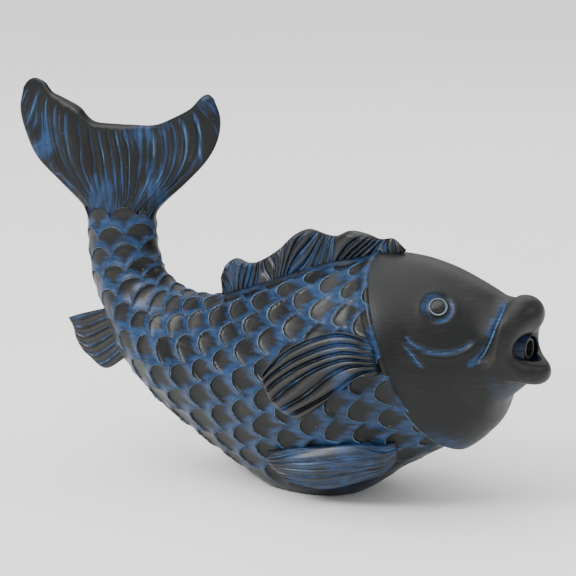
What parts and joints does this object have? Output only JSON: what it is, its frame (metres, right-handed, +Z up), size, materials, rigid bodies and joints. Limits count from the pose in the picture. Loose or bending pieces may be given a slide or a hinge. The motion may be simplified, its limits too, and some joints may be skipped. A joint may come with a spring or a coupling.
{
  "type": "carp pond spitter",
  "caption": "Hollow cast carp with raised tail that spouts water from its open mouth, fed by a hose elbow on its flank.",
  "frame": {"origin": "on the ground under the middle of the flat belly, in the fish's plane of symmetry", "axes": "+X the way the fish looks, +Y its left side, +Z up"},
  "size_m": [0.3752, 0.1619, 0.2433],
  "materials": {
    "charcoal_cast": "charcoal patina with blue in the hollows, satin",
    "eye_gloss": "gloss black",
    "bronze_pipe": "dull brown bronze",
    "black_rubber": "matte black",
    "clear_vinyl": "milky clear",
    "steel": "bright",
    "black_plastic": "moulded black, satin"
  },
  "bodies": {
    "carp": {"head_casting": "charcoal_cast", "trunk_casting": "charcoal_cast", "tail_fin": "charcoal_cast", "dorsal_fin": "charcoal_cast", "anal_fin": "charcoal_cast", "pectoral_fin_left": "charcoal_cast", "pectoral_fin_right": "charcoal_cast", "pelvic_fin_left": "charcoal_cast", "pelvic_fin_right": "charcoal_cast", "eye_left": "eye_gloss", "eye_right": "eye_gloss", "tail_rod": "steel", "hose_clip_front": "steel", "hose_clip_rear": "steel", "spout_pipe": "bronze_pipe", "spout_grommet": "black_rubber", "inlet_gasket": "black_rubber", "inner_hose": "clear_vinyl", "inlet_bulkhead": "black_plastic", "inlet_back_nut": "black_plastic"},
    "union_nut": {"union_nut": "black_plastic"},
    "hose_elbow": {"hose_elbow": "black_plastic", "union_washer": "black_rubber"},
    "belly_bung": {"belly_bung": "black_rubber"}
  },
  "joints": [
    {"name": "union_nut_turn", "type": "hinge", "parent": "carp", "child": "union_nut", "pos_m": [-0.042, 0.0655, 0.056], "axis": [0, 1, 0], "continuous": true},
    {"name": "hose_elbow_swivel", "type": "hinge", "parent": "carp", "child": "hose_elbow", "pos_m": [-0.042, 0.0655, 0.056], "axis": [0, 1, 0], "continuous": true},
    {"name": "belly_bung_pull", "type": "slide", "parent": "carp", "child": "belly_bung", "axis": [0, 0, -1], "range_m": [0, 0.012]}
  ]
}
